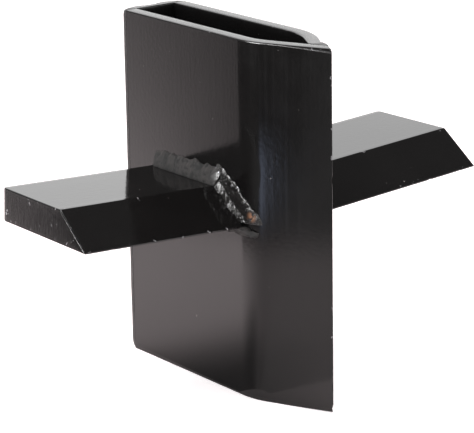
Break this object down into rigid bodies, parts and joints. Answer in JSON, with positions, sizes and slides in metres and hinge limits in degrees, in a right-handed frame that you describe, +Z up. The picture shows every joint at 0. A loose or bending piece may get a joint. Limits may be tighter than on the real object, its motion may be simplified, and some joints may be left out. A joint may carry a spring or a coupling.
{
  "type": "four-way log splitter wedge",
  "caption": "Black painted steel sleeve with a sharp nose and two bevelled side wings, which slips over a log splitter's blade to split logs into quarters.",
  "frame": {"origin": "middle of the parallel part of the blade slot, in the plane of the sleeve's bottom rim", "axes": "+Z up along the sleeve, -Y towards the cutting nose, +X towards the right wing seen from behind the nose"},
  "size_m": [0.271, 0.1649, 0.203],
  "materials": {
    "sleeve_plate": "gloss",
    "wing_bar": "gloss",
    "painted_weld": "gloss"
  },
  "bodies": {
    "root": {"left_cheek_plate": "sleeve_plate", "right_cheek_plate": "sleeve_plate", "heel_plate": "sleeve_plate", "nose_seam_weld": "painted_weld", "left_heel_weld": "painted_weld", "right_heel_weld": "painted_weld", "left_wing": "wing_bar", "right_wing": "wing_bar", "left_wing_top_weld": "painted_weld", "left_wing_bevel_weld": "painted_weld", "left_wing_rear_weld": "painted_weld", "left_wing_underside_weld": "painted_weld", "right_wing_top_weld": "painted_weld", "right_wing_bevel_weld": "painted_weld", "right_wing_rear_weld": "painted_weld", "right_wing_underside_weld": "painted_weld"}
  },
  "joints": []
}
